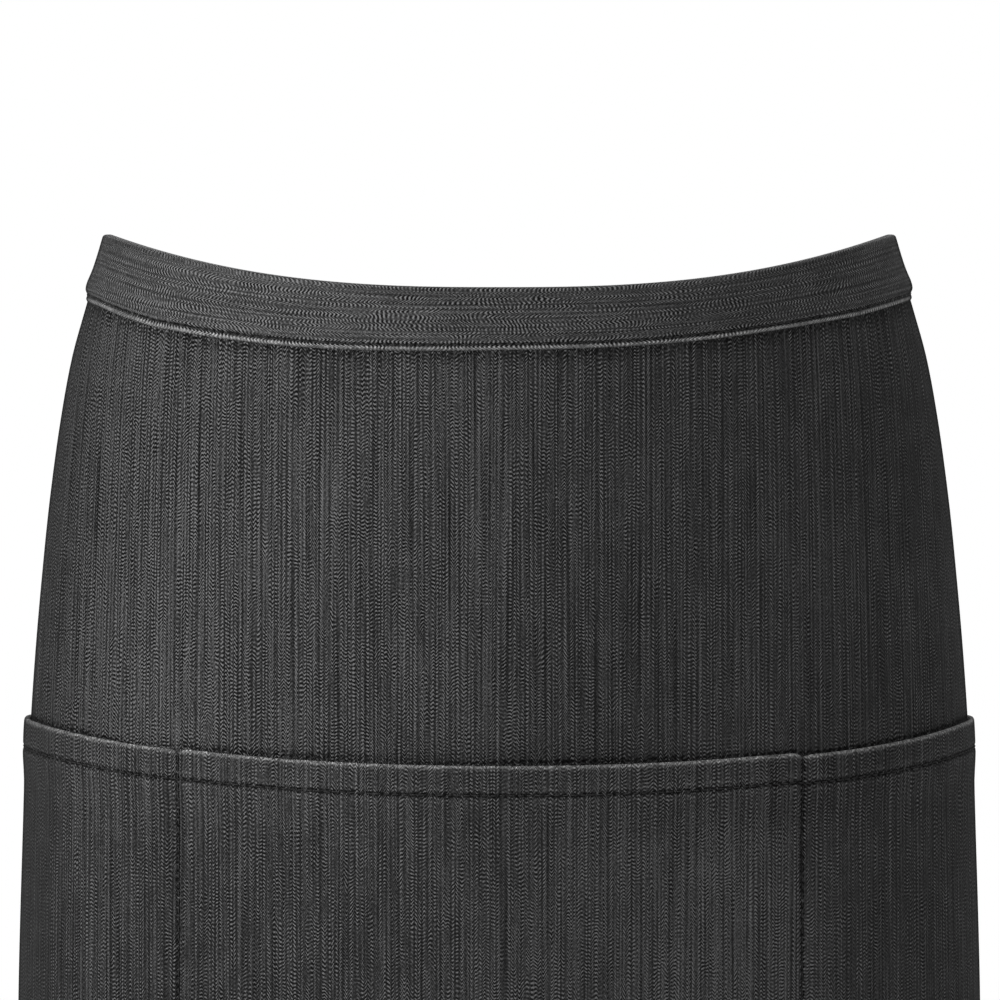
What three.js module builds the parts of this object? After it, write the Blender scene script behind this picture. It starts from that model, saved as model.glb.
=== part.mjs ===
// A waist apron of washed black denim, in the form that it has when it is worn. A folded waistband
// carries a skirt panel that wraps round the front and the sides of the hips. A patch pocket as
// wide as the skirt lies on it, and two upright seams divide it into three compartments. Two ties
// run on from the ends of the waistband and meet in a knot at the middle of the back, and their
// ends hang from it.
//
// Millimetres, +Z up, the front faces -Y. The origin is the middle of the waist loop, at half the
// height of the waistband's front. Places on the cloth are given by two lengths: across, along the
// cloth from the centre front, and down, below the waistband's top edge. A third, offset, is how
// far outside the skirt's outer face a point lies.

import * as THREE from "three";

// The cloth
const apronWidth = 680;
const denim = 1.1;
const layerGap = 0.3;
const denimColor = 0x3a3a3a;
const clothStep = 14;
const hemStep = 1;

// The waistband, which is folded over the skirt's top edge
const bandHeight = 25;
const bandWall = 1.2;
const bandLap = 12;
// Its lower edge runs this much lower over the hip at -X, and this much higher over the one at +X
const bandSlant = 1.1;

// The pocket
const pocketDrop = 187;
const pocketDepth = 205;
const pocketHem = 11;
const pocketHemThickness = 2 * denim;
const pocketHemStandOff = 0.4;
const pocketEase = 0.3;
const seamRoll = 8;
// The middle compartment's mouth stands open by this much more
const pocketGape = 7;
const leftDivider = 130;
const rightDivider = 122;

// The skirt goes on below the pocket, and its hems are folded to the inside
const skirtBelowPocket = 108;
const sideHem = 12;
const bottomHem = 20;

// The ties, the knot and the hanging ends. The strap is gathered to these shares of its size where
// it is knotted.
const tieWidth = 22;
const tieThickness = 1.6;
const tieClearance = 0.4;
const gatheredWidth = 0.6;
const gatheredThickness = 1.7;
const knotWidth = 32;
const knotHeight = 28;
const knotDepth = 14;
const knotStandOff = 4;
const tieEndLength = 165;
const tieEndSpread = 20;

// The body that the apron is worn on: half widths, and depths before and behind the middle of the
// side
const waistHalfWidth = 156.4;
const hipHalfWidth = 189;
const waistFrontDepth = 113;
const hipFrontDepth = 119;
const waistBackDepth = 112;
const hipBackDepth = 128;
const hipDrop = pocketDrop;

// The waistband rides up over each hip, and slopes down to the back
const sideLift = 22.6;
const backDrop = 14;
const liftPower = 2.6;

// The folds of the free lower half
const foldDepth = 7;
const foldStart = 290;

// Sections of the body. down is a share of hipDrop. spread goes from 0 at the waist's sizes to 1 at
// the hips'. lift and drop are shares of sideLift and backDrop.
const bodySections = [
  { down: 0, spread: 0, lift: 1, drop: 1 },
  { down: 0.134, spread: 0.245, lift: 0.885, drop: 0.93 },
  { down: 0.267, spread: 0.46, lift: 0.823, drop: 0.857 },
  { down: 0.481, spread: 0.668, lift: 0.735, drop: 0.757 },
  { down: 0.722, spread: 0.825, lift: 0.646, drop: 0.643 },
  { down: 1, spread: 0.955, lift: 0.571, drop: 0.543 },
  { down: 1.257, spread: 1.012, lift: 0.487, drop: 0.457 },
  { down: 1.551, spread: 1.065, lift: 0.416, drop: 0.371 },
  { down: 2.032, spread: 1.12, lift: 0.31, drop: 0.243 },
  { down: 2.674, spread: 1.2, lift: 0.177, drop: 0.071 },
];

// Folds of the skirt below foldStart. across and width are shares of half the apron's width, and
// depth is a share of foldDepth, outwards where it is positive.
const skirtFolds = [
  { across: -0.9, width: 0.09, depth: 0.8 },
  { across: -0.72, width: 0.1, depth: -0.9 },
  { across: -0.53, width: 0.1, depth: 0.75 },
  { across: -0.32, width: 0.11, depth: -0.35 },
  { across: -0.06, width: 0.16, depth: 0.3 },
  { across: 0.27, width: 0.12, depth: -0.4 },
  { across: 0.5, width: 0.1, depth: 0.7 },
  { across: 0.7, width: 0.1, depth: -0.85 },
  { across: 0.89, width: 0.09, depth: 0.85 },
];

const halfApron = apronWidth / 2;
const pocketBottom = pocketDrop + pocketDepth;
const apronLength = pocketBottom + skirtBelowPocket;

// A smooth curve through one column of a table, carried on straight past its last row
function tableAt(table, key, column, at) {
  const last = table.length - 1;
  const slopeAt = (row) => {
    const before = table[Math.max(row - 1, 0)];
    const after = table[Math.min(row + 1, last)];
    return (after[column] - before[column]) / (after[key] - before[key]);
  };
  if (at >= table[last][key]) {
    return table[last][column] + slopeAt(last) * (at - table[last][key]);
  }
  let row = 0;
  while (at > table[row + 1][key]) row += 1;
  const from = table[row];
  const to = table[row + 1];
  const span = to[key] - from[key];
  const u = (at - from[key]) / span;
  const rise = u * u * (3 - 2 * u);
  return (
    from[column] * (1 - rise) +
    to[column] * rise +
    slopeAt(row) * span * u * (1 - u) ** 2 -
    slopeAt(row + 1) * span * u * u * (1 - u)
  );
}

const smoothStep = (from, to, at) => THREE.MathUtils.smoothstep(at, from, to);

// The horizontal ring round the body at one level. arc holds the length along it from the front, at
// even angles.
const ringSteps = 240;
const rings = new Map();

function ringAt(down) {
  if (rings.has(down)) return rings.get(down);
  const at = Math.max(down, 0) / hipDrop;
  const spread = tableAt(bodySections, "down", "spread", at);
  const ring = {
    halfWidth: THREE.MathUtils.lerp(waistHalfWidth, hipHalfWidth, spread),
    front: THREE.MathUtils.lerp(waistFrontDepth, hipFrontDepth, spread),
    back: THREE.MathUtils.lerp(waistBackDepth, hipBackDepth, spread),
    lift: sideLift * tableAt(bodySections, "down", "lift", at),
    drop: backDrop * tableAt(bodySections, "down", "drop", at),
    arc: [0],
  };
  for (let step = 1; step <= ringSteps; step += 1) {
    const [a, b] = [step - 1, step].map((k) => ringPlan(ring, (k * Math.PI) / ringSteps));
    ring.arc.push(ring.arc[step - 1] + a.distanceTo(b));
  }
  rings.set(down, ring);
  return ring;
}

// A point of the ring seen from above. The angle is 0 at the front and a half turn at the back.
function ringPlan(ring, angle) {
  const depth = Math.cos(angle) >= 0 ? ring.front : ring.back;
  return new THREE.Vector2(ring.halfWidth * Math.sin(angle), -depth * Math.cos(angle));
}

function halfGirth(down) {
  return ringAt(down).arc[ringSteps];
}

function angleAt(across, down) {
  const { arc } = ringAt(down);
  const length = Math.abs(across);
  let step = 1;
  while (step < ringSteps && arc[step] < length) step += 1;
  const part = (length - arc[step - 1]) / (arc[step] - arc[step - 1]);
  return (Math.sign(across) * (step - 1 + part) * Math.PI) / ringSteps;
}

// How far the skirt's folds push the cloth outwards
function foldAt(across, down) {
  const growth = smoothStep(foldStart, apronLength, down);
  if (growth === 0) return 0;
  const push = skirtFolds.reduce((sum, fold) => {
    const away = (across / halfApron - fold.across) / fold.width;
    return sum + fold.depth * Math.exp(-away * away);
  }, 0);
  return growth * push * foldDepth;
}

// A point at that angle round the body, that far down and that far outside the skirt's outer face
function bodyPoint(angle, down, offset) {
  const ring = ringAt(down);
  const plan = ringPlan(ring, angle);
  const depth = Math.cos(angle) >= 0 ? ring.front : ring.back;
  const outward = new THREE.Vector2(Math.sin(angle) / ring.halfWidth, -Math.cos(angle) / depth);
  plan.addScaledVector(outward.normalize(), offset);
  const lifted = ring.lift * Math.abs(Math.sin(angle)) ** liftPower;
  const dropped = (ring.drop * (1 - Math.cos(angle))) / 2;
  return new THREE.Vector3(plan.x, plan.y, bandHeight / 2 - down + lifted - dropped);
}

function clothPoint(across, down, offset) {
  return bodyPoint(angleAt(across, down), down, offset + foldAt(across, down));
}

// A closed solid through loops with equal numbers of points. Every face is divided from its upper
// point on one loop to its lower point on the next, so that the facets of cloth that lies on cloth
// stay parallel. cap lists the triangles that close the last loop, in the loop's own direction.
function loft(loops, cap) {
  const count = loops[0].length;
  const indices = [];
  for (let k = 0; k + 1 < loops.length; k += 1) {
    for (let i = 0; i < count; i += 1) {
      const next = (i + 1) % count;
      const a = k * count + i;
      const b = k * count + next;
      const runsDown = loops[k][next].z < loops[k][i].z;
      if (runsDown) indices.push(a, b, b + count, a, b + count, a + count);
      else indices.push(a, b, a + count, b, b + count, a + count);
    }
  }
  const end = (loops.length - 1) * count;
  for (const [a, b, c] of cap) {
    indices.push(c, b, a, end + a, end + b, end + c);
  }
  const geometry = new THREE.BufferGeometry().setFromPoints(loops.flat());
  geometry.setIndex(indices);
  geometry.computeVertexNormals();
  return geometry;
}

// The cap of a loop that runs along one face of a sheet and back along the other
function stripCap(count) {
  const cap = [];
  for (let i = 0; i + 1 < count / 2; i += 1) {
    const opposite = count - 1 - i;
    cap.push([i, i + 1, opposite - 1], [i, opposite - 1, opposite]);
  }
  return cap;
}

function fanCap(count) {
  return Array.from({ length: count - 2 }, (_, i) => [0, i + 1, i + 2]);
}

// The columns that every sheet shares, so that the facets of sheets that lie on each other run side
// by side
function clothColumns() {
  const own = [];
  for (const seam of [-leftDivider, rightDivider]) {
    own.push(seam - seamRoll, seam - seamRoll / 2, seam, seam + seamRoll / 2, seam + seamRoll);
  }
  for (const side of [-1, 1]) {
    own.push(side * halfApron, side * (halfApron - sideHem), side * (halfApron - sideHem - hemStep));
  }
  const count = Math.round(apronWidth / clothStep);
  const even = Array.from({ length: count + 1 }, (_, i) => -halfApron + (i * apronWidth) / count);
  const clear = even.filter((across) => own.every((line) => Math.abs(line - across) > clothStep / 3));
  return [...own, ...clear].sort((a, b) => a - b);
}

const columns = clothColumns();

// A sheet of cloth over the shared columns. A row says how far down it runs, and where the two
// faces lie.
function sheet(rowsAt) {
  const loops = columns.map((across) => {
    const rows = rowsAt(across);
    const outer = rows.map((row) => clothPoint(across, row.down, row.outer));
    const inner = rows.map((row) => clothPoint(across, row.down, row.inner));
    return [...outer, ...inner.reverse()];
  });
  return loft(loops, stripCap(loops[0].length));
}

const bandBottom = (across) => bandHeight - bandSlant * Math.sin((across / halfApron) * (Math.PI / 2));

// The waistband: one strip folded lengthwise over the skirt's top edge, which goes up between its
// two walls
function waistbandGeometry() {
  const outside = layerGap + bandWall;
  const inside = -denim - layerGap - bandWall;
  const foldRadius = (outside - inside) / 2;
  const foldMiddle = (outside + inside) / 2;
  const foldAngles = [1, 0.75, 0.5, 0.25, 0].map((share) => share * Math.PI);
  const sectionAt = (across) => {
    const bottom = bandBottom(across);
    const fold = foldAngles.map((angle) => ({
      offset: foldMiddle + foldRadius * Math.cos(angle),
      down: foldRadius * (1 - Math.sin(angle)),
    }));
    return [
      ...fold,
      { offset: outside, down: bottom },
      { offset: layerGap, down: bottom },
      { offset: layerGap, down: bottom - bandLap },
      { offset: -denim - layerGap, down: bottom - bandLap },
      { offset: -denim - layerGap, down: bottom },
      { offset: inside, down: bottom },
    ];
  };
  const loops = columns.map((across) =>
    sectionAt(across).map((point) => clothPoint(across, point.down, point.offset)),
  );
  const outline = sectionAt(halfApron).map((point) => new THREE.Vector2(-point.offset, -point.down));
  return loft(loops, THREE.ShapeUtils.triangulateShape(outline, []));
}

// The skirt: one panel, doubled where its hems are folded to the inside
function skirtGeometry() {
  const hemTop = apronLength - bottomHem;
  const plainRows = [0.267, 0.481, 0.722].map((share) => share * hipDrop);
  const bottomRows = [0.25, 0.6, 1].map((share) => THREE.MathUtils.lerp(pocketBottom, hemTop, share));
  return sheet((across) => {
    const onSideHem = Math.abs(across) >= halfApron - sideHem;
    const top = bandBottom(across) - bandLap + layerGap;
    const downs = [
      top,
      bandBottom(across),
      ...plainRows,
      ...pocketRows(),
      ...bottomRows,
      hemTop + hemStep,
      apronLength,
    ];
    return downs.map((down) => {
      const layers = down > bandBottom(across) && (onSideHem || down > hemTop) ? 2 : 1;
      return { down, outer: 0, inner: -layers * denim };
    });
  });
}

// How far the pocket stands off the skirt between its seams
function easeAt(across, down) {
  const seams = [-halfApron + sideHem, -leftDivider, rightDivider, halfApron - sideHem];
  const nearest = Math.min(...seams.map((seam) => Math.abs(across - seam)));
  const beyondSeams = Math.abs(across) >= halfApron - sideHem;
  const roll = beyondSeams ? 0 : 1 - (1 - Math.min(nearest / seamRoll, 1)) ** 2;
  const middle = (across + leftDivider) / (leftDivider + rightDivider);
  const gape = middle > 0 && middle < 1 ? Math.sin(middle * Math.PI) ** 2 : 0;
  const closing = 1 - ((down - pocketDrop) / pocketDepth) ** 3;
  return { ease: (pocketEase * roll + pocketGape * gape) * closing, closing };
}

// The rows of the pocket, which the skirt shares
function pocketRows() {
  const foldEnd = pocketDrop + hemStep;
  const hemEnd = pocketDrop + pocketHem;
  const bodyRows = [0.22, 0.48, 0.74, 1].map((share) =>
    THREE.MathUtils.lerp(hemEnd, pocketBottom, share),
  );
  return [pocketDrop, foldEnd, hemEnd, hemEnd + hemStep, ...bodyRows];
}

// The pocket: one panel as wide as the skirt, with its top edge folded to the inside
function pocketGeometry() {
  const foldInset = pocketHemThickness / 4;
  return sheet((across) =>
    pocketRows().map((down) => {
      const { ease, closing } = easeAt(across, down);
      const onHem = down <= pocketDrop + pocketHem;
      const inner = layerGap + ease + (onHem ? 0 : pocketHemStandOff * closing);
      const outer = inner + (onHem ? pocketHemThickness : denim);
      const inset = down === pocketDrop ? foldInset : 0;
      return { down, outer: outer - inset, inner: inner + inset };
    }),
  );
}

const tieMiddle = -denim / 2;
const knotDown = bandHeight / 2;

// One tie, from the end of the waistband to the side of the knot, where the strap is gathered
function tieGeometry(side) {
  const steps = 8;
  const start = halfApron + tieClearance;
  const loops = Array.from({ length: steps + 1 }, (_, step) => {
    const share = step / steps;
    const gathering = smoothStep(0.25, 1, share);
    const width = tieWidth * THREE.MathUtils.lerp(1, gatheredWidth, gathering);
    const thickness = tieThickness * THREE.MathUtils.lerp(1, gatheredThickness, gathering);
    const downs = [-0.5, 0, 0.5].map((part) => knotDown + part * width);
    const middle = tieMiddle + knotStandOff * smoothStep(0.5, 1, share);
    const place = (down, face) => {
      const end = halfGirth(down) - knotWidth / 2 - tieClearance;
      const across = THREE.MathUtils.lerp(start, end, share);
      return bodyPoint(angleAt(side * across, down), down, middle + (face * thickness) / 2);
    };
    return [...downs.map((down) => place(down, 1)), ...downs.reverse().map((down) => place(down, -1))];
  });
  if (side < 0) loops.reverse();
  return loft(loops, stripCap(loops[0].length));
}

// The knot: a barrel lying across the back, with the ties against its flat ends
const knotMiddle = bodyPoint(Math.PI, knotDown, tieMiddle + knotStandOff);
const knotSections = [
  { along: -1, height: 0.62, depth: 0.55 },
  { along: -0.72, height: 0.86, depth: 0.85 },
  { along: -0.3, height: 1, depth: 1 },
  { along: 0.3, height: 1, depth: 1 },
  { along: 0.72, height: 0.86, depth: 0.85 },
  { along: 1, height: 0.62, depth: 0.55 },
];

function knotGeometry() {
  const sides = 16;
  const squareness = 0.75;
  const power = (value) => Math.sign(value) * Math.abs(value) ** squareness;
  const loops = knotSections.map((section) =>
    Array.from({ length: sides }, (_, i) => {
      const angle = (i * 2 * Math.PI) / sides;
      return new THREE.Vector3(
        (section.along * knotWidth) / 2,
        knotMiddle.y + (power(Math.cos(angle)) * section.depth * knotDepth) / 2,
        knotMiddle.z + (power(Math.sin(angle)) * section.height * knotHeight) / 2,
      );
    }),
  );
  return loft(loops, fanCap(sides));
}

// One hanging end. It leaves the knot gathered, opens to the strap's width and hangs down the back
// of the body.
function tieEndGeometry(side) {
  const steps = 10;
  const openingShare = 0.22;
  const top = knotMiddle.z - knotHeight / 2 - layerGap;
  const start = (tieWidth * gatheredWidth) / 2 + layerGap;
  const loops = Array.from({ length: steps + 1 }, (_, step) => {
    const share = step / steps;
    const opening = smoothStep(0, openingShare, share);
    const width = tieWidth * THREE.MathUtils.lerp(gatheredWidth, 1, opening);
    const middle = side * (start + tieEndSpread * share ** 0.8);
    const z = top - share * tieEndLength;
    const corner = (part, face) => {
      const x = middle + part * width;
      const ring = ringAt(bandHeight / 2 - z);
      const angle = Math.PI - Math.asin(x / ring.halfWidth);
      const point = bodyPoint(angle, bandHeight / 2 - z, tieMiddle + (face * tieThickness) / 2);
      return new THREE.Vector3(x, point.y, z);
    };
    return [corner(-0.5, 1), corner(0.5, 1), corner(0.5, -1), corner(-0.5, -1)];
  });
  return loft(loops, stripCap(loops[0].length));
}

const denimCloth = new THREE.MeshStandardMaterial({ color: denimColor, roughness: 0.92, metalness: 0 });

const apron = new THREE.Group();

function addPiece(name, geometry) {
  const piece = new THREE.Mesh(geometry, denimCloth.clone());
  piece.name = name;
  apron.add(piece);
}

addPiece("waistband", waistbandGeometry());
addPiece("skirt", skirtGeometry());
addPiece("pocket", pocketGeometry());
addPiece("tie_left", tieGeometry(-1));
addPiece("tie_right", tieGeometry(1));
addPiece("tie_knot", knotGeometry());
addPiece("tie_end_left", tieEndGeometry(-1));
addPiece("tie_end_right", tieEndGeometry(1));

export default apron;
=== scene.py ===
import math

import bpy
import numpy as np
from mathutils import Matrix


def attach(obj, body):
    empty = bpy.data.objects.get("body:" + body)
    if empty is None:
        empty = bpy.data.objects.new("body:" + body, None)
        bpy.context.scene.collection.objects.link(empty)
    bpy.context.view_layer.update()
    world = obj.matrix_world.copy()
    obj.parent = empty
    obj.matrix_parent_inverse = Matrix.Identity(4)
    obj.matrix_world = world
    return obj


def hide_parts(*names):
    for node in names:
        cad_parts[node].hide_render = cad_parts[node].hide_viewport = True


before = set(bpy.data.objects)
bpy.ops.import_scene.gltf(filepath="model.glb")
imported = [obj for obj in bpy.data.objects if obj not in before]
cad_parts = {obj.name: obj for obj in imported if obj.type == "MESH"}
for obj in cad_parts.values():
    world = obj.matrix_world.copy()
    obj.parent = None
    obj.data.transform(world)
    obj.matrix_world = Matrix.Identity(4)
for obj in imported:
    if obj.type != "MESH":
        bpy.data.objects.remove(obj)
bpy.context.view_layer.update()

# The skirt
#
# One panel of washed black denim, worn wrapped round the front and both sides and open at the
# back. Its side and bottom edges are turned to the inside and stitched down, and its top edge is
# sewn into the waistband.

MM = 0.001

# The rings that the cloth makes at the waistband's top and hip_drop below it, in millimetres: half
# the width, and the depths before and behind the middle of the side
waist_size = np.array([156.4, 113.0, 112.0])
hip_size = np.array([189.0, 119.0, 128.0])
hip_drop = 187.0
side_lift = 22.6
back_drop = 14.0
lift_power = 2.6
band_height = 25.0

# The form that the cloth keeps: down as a share of hip_drop, spread from the first ring to the
# second, and shares of side_lift and back_drop
form_levels = np.array([
    [0, 0, 1, 1],
    [0.134, 0.245, 0.885, 0.93],
    [0.267, 0.46, 0.823, 0.857],
    [0.481, 0.668, 0.735, 0.757],
    [0.722, 0.825, 0.646, 0.643],
    [1, 0.955, 0.571, 0.543],
    [1.257, 1.012, 0.487, 0.457],
    [1.551, 1.065, 0.416, 0.371],
    [2.032, 1.12, 0.31, 0.243],
    [2.674, 1.2, 0.177, 0.071],
])

apron_half = 340.0
apron_length = 500.0
skirt_cloth = 1.1
side_hem = 12.0
bottom_hem = 20.0
fold_start = 290.0
fold_depth = 7.0

# Folds of the free lower half: across and width as shares of apron_half, depth of fold_depth
skirt_folds = [
    (-0.9, 0.09, 0.8),
    (-0.72, 0.1, -0.9),
    (-0.53, 0.1, 0.75),
    (-0.32, 0.11, -0.35),
    (-0.06, 0.16, 0.3),
    (0.27, 0.12, -0.4),
    (0.5, 0.1, 0.7),
    (0.7, 0.1, -0.85),
    (0.89, 0.09, 0.85),
]


def level_curve(down, column):
    """A smooth curve through one column of the form's levels."""
    key, value = form_levels[:, 0], form_levels[:, column]
    inner = (value[2:] - value[:-2]) / (key[2:] - key[:-2])
    ends = np.diff(value)[[0, -1]] / np.diff(key)[[0, -1]]
    slope = np.concatenate([ends[:1], inner, ends[1:]])
    at = np.maximum(down, 0) / hip_drop
    row = np.clip(np.searchsorted(key, at, side="right") - 1, 0, len(key) - 2)
    span = key[row + 1] - key[row]
    u = np.minimum((at - key[row]) / span, 1)
    rise = u * u * (3 - 2 * u)
    inside = (
        value[row] * (1 - rise)
        + value[row + 1] * rise
        + slope[row] * span * u * (1 - u) ** 2
        - slope[row + 1] * span * u * u * (1 - u)
    )
    return inside + slope[-1] * np.maximum(at - key[-1], 0)


def ring_sizes(down):
    """Half width, front depth and back depth of the cloth's ring at one level."""
    spread = np.asarray(level_curve(down, 1))[..., None]
    size = waist_size + (hip_size - waist_size) * spread
    return size[..., 0], size[..., 1], size[..., 2]


# Angles are read from a table of levels down the cloth and lengths round it
half_turn = np.linspace(0, math.pi, 241)
level_step, span_step = 4.0, 2.5
table_levels = np.arange(-8, 528, level_step)
table_spans = np.arange(0, 470, span_step)


def ring_lengths(down):
    """The length along the ring, from the centre front, that each angle is reached at."""
    half, front, back = ring_sizes(down)
    x = half * np.sin(half_turn)
    y = -np.where(half_turn <= math.pi / 2, front, back) * np.cos(half_turn)
    return np.concatenate([[0], np.cumsum(np.hypot(np.diff(x), np.diff(y)))])


angle_table = np.array([
    np.interp(table_spans, ring_lengths(level), half_turn) for level in table_levels
])


def angle_at(across, down):
    """The angle from the centre front that a length across the cloth reaches at one level."""
    row = np.clip((down - table_levels[0]) / level_step, 0, len(table_levels) - 1.001)
    column = np.clip(np.abs(across) / span_step, 0, len(table_spans) - 1.001)
    r, c = row.astype(int), column.astype(int)
    u, v = row - r, column - c
    upper = angle_table[r, c] * (1 - v) + angle_table[r, c + 1] * v
    lower = angle_table[r + 1, c] * (1 - v) + angle_table[r + 1, c + 1] * v
    return np.sign(across) * (upper * (1 - u) + lower * u)


def form_point(angle, down, offset):
    """A point that far round the form, that far down, and that far outside the skirt."""
    half, front, back = ring_sizes(down)
    depth = np.where(np.cos(angle) >= 0, front, back)
    out_x, out_y = np.sin(angle) / half, -np.cos(angle) / depth
    size = np.hypot(out_x, out_y)
    x = half * np.sin(angle) + offset * out_x / size
    y = -depth * np.cos(angle) + offset * out_y / size
    lift = side_lift * level_curve(down, 2) * np.abs(np.sin(angle)) ** lift_power
    drop = back_drop * level_curve(down, 3) * (1 - np.cos(angle)) / 2
    return np.stack([x, y, band_height / 2 - down + lift - drop], -1) * MM


def smooth_step(low, high, at):
    """From nought at low to one at high, level at both."""
    u = np.clip((at - low) / (high - low), 0, 1)
    return u * u * (3 - 2 * u)


def fold_at(across, down):
    """How far the skirt's folds push its cloth out, which grows towards the hem."""
    growth = smooth_step(fold_start, apron_length, down)
    push = 0
    for middle, width, depth in skirt_folds:
        push = push + depth * np.exp(-(((across / apron_half - middle) / width) ** 2))
    return growth * push * fold_depth


def cloth_point(across, down, offset):
    """A point of the worn cloth from its lengths across and down, and its distance outwards."""
    across, down, offset = np.broadcast_arrays(across, down, offset)
    return form_point(angle_at(across, down), down, offset + fold_at(across, down))


def cloth_place(across, down):
    """Places in the flat cloth, in metres, which its weave is laid out by."""
    return np.stack(np.broadcast_arrays(across, down), -1) * MM


def bump(at, middle, width):
    """One at the middle, falling off softly within the width."""
    return np.exp(-(((at - middle) / width) ** 2))


def ease_in(start, stop, fine, coarse, reach):
    """Steps from start to stop that are fine at both ends and coarse between."""
    places = [0.0]
    length = stop - start
    while places[-1] < length:
        near = min(places[-1], length - places[-1])
        places.append(places[-1] + fine + (coarse - fine) * min(near / reach, 1))
    places = np.array(places[:-1] + [length])
    return start + places * length / places[-1]


def new_piece(name, points, faces, places, cloths, marks):
    """A smooth piece with a place in the flat cloth for each of its points, or of its corners, and
    marks that the cloth reads: named numbers for each point."""
    mesh = bpy.data.meshes.new(name)
    mesh.from_pydata(points.reshape(-1, 3).tolist(), [], faces)
    places = places.reshape(-1, 2)
    if len(places) == len(mesh.vertices):
        corner = np.zeros(len(mesh.loops), np.int32)
        mesh.loops.foreach_get("vertex_index", corner)
        places = places[corner]
    layer = mesh.uv_layers.new(name="cloth")
    layer.data.foreach_set("uv", places.astype(np.float32).ravel())
    mesh.polygons.foreach_set("use_smooth", np.ones(len(mesh.polygons), bool))
    for cloth in cloths:
        mesh.materials.append(cloth)
    for label, values in marks.items():
        made = mesh.attributes.new(label, "FLOAT", "POINT")
        made.data.foreach_set("value", np.asarray(values, np.float32).ravel())
    mesh.update()
    piece = bpy.data.objects.new(name, mesh)
    bpy.context.scene.collection.objects.link(piece)
    return piece


def cloth_piece(name, outer, inner, outer_map, inner_map, cloths, wear_and_shade, faded=1.0, washed=0.0):
    """A closed piece of cloth from the grids of its two faces, whose rows run down the cloth."""
    rows, columns = outer.shape[:2]
    count = rows * columns
    a = np.arange(count).reshape(rows, columns)
    b = a + count

    def faces(*corners):
        return np.stack(corners, -1).reshape(-1, 4)

    front = faces(a[:-1, :-1], a[1:, :-1], a[1:, 1:], a[:-1, 1:])
    back = faces(b[:-1, :-1], b[:-1, 1:], b[1:, 1:], b[1:, :-1])
    rims = np.concatenate([
        faces(a[-1, :-1], b[-1, :-1], b[-1, 1:], a[-1, 1:]),
        faces(a[0, :-1], a[0, 1:], b[0, 1:], b[0, :-1]),
        faces(a[:-1, 0], b[:-1, 0], b[1:, 0], a[1:, 0]),
        faces(a[:-1, -1], a[1:, -1], b[1:, -1], b[:-1, -1]),
    ])
    outer_places, inner_places = outer_map.reshape(-1, 2), inner_map.reshape(-1, 2)
    on_face = np.concatenate([outer_places, inner_places])
    on_rim = np.concatenate([outer_places, outer_places + MM])
    flat_grid = np.zeros((rows, columns))
    piece = new_piece(
        name,
        np.stack([outer, inner]),
        np.concatenate([front, back, rims]).tolist(),
        np.concatenate([on_face[front.ravel()], on_face[back.ravel()], on_rim[rims.ravel()]]),
        cloths,
        {
            "rubbed_and_shaded": [flat_grid + wear_and_shade[0], flat_grid + wear_and_shade[1]],
            "faded": [flat_grid + faded] * 2,
            "washed": [flat_grid + washed] * 2,
        },
    )
    cloth_of_face = np.zeros(len(piece.data.polygons), np.int32)
    cloth_of_face[len(front):len(front) + len(back)] = len(cloths) - 1
    piece.data.polygons.foreach_set("material_index", cloth_of_face)
    return piece


def add_node(tree, kind, **settings):
    made = tree.nodes.new(kind)
    for key, value in settings.items():
        setattr(made, key, value)
    return made


def feed(socket, value):
    """Link the socket to another one, or set it to a number."""
    if isinstance(value, bpy.types.NodeSocket):
        socket.id_data.links.new(value, socket)
    else:
        socket.default_value = value


def calc(operation, *values):
    """One sum of numbers and sockets, in the shader that the sockets belong to."""
    tree = next(value.id_data for value in values if isinstance(value, bpy.types.NodeSocket))
    made = add_node(tree, "ShaderNodeMath", operation=operation)
    for socket, value in zip(made.inputs, values):
        feed(socket, value)
    return made.outputs[0]


def plus(first, second):
    return calc("ADD", first, second)


def times(first, second):
    return calc("MULTIPLY", first, second)


def patches(place, size, detail=1.0):
    """Noise over the cloth, whose patches are size millimetres wide and high."""
    tree = place.id_data
    counted = add_node(tree, "ShaderNodeVectorMath", operation="MULTIPLY")
    tree.links.new(place, counted.inputs[0])
    counted.inputs[1].default_value = (1 / (size[0] * MM), 1 / (size[1] * MM), 1)
    made = add_node(tree, "ShaderNodeTexNoise", noise_dimensions="2D")
    tree.links.new(counted.outputs[0], made.inputs["Vector"])
    made.inputs["Scale"].default_value = 1
    made.inputs["Detail"].default_value = detail
    return made.outputs["Fac"]


def centred(value, gain):
    """Noise turned into a number that swings about nought."""
    return times(calc("SUBTRACT", value, 0.5), gain)


def ranged(value, source, result):
    """A value carried from one range into another and held inside it."""
    made = add_node(value.id_data, "ShaderNodeMapRange")
    labels = ("From Min", "From Max", "To Min", "To Max")
    for label, number in zip(labels, (*source, *result)):
        made.inputs[label].default_value = number
    feed(made.inputs["Value"], value)
    return made.outputs[0]


def scaled(colour, scale):
    """A colour made brighter or darker by a number."""
    made = add_node(colour.id_data, "ShaderNodeVectorMath", operation="SCALE")
    feed(made.inputs[0], colour)
    feed(made.inputs["Scale"], scale)
    return made.outputs[0]


def split(place):
    """A place's length across the cloth and its length down it."""
    made = add_node(place.id_data, "ShaderNodeSeparateXYZ")
    feed(made.inputs[0], place)
    return made.outputs["X"], made.outputs["Y"]


def shader_group(name, inputs, outputs):
    """A group of the given sockets, with its own input and output nodes."""
    tree = bpy.data.node_groups.new(name, "ShaderNodeTree")
    for label, kind in inputs:
        tree.interface.new_socket(name=label, in_out="INPUT", socket_type=kind)
    for label, kind in outputs:
        tree.interface.new_socket(name=label, in_out="OUTPUT", socket_type=kind)
    return tree, add_node(tree, "NodeGroupInput"), add_node(tree, "NodeGroupOutput")


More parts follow.
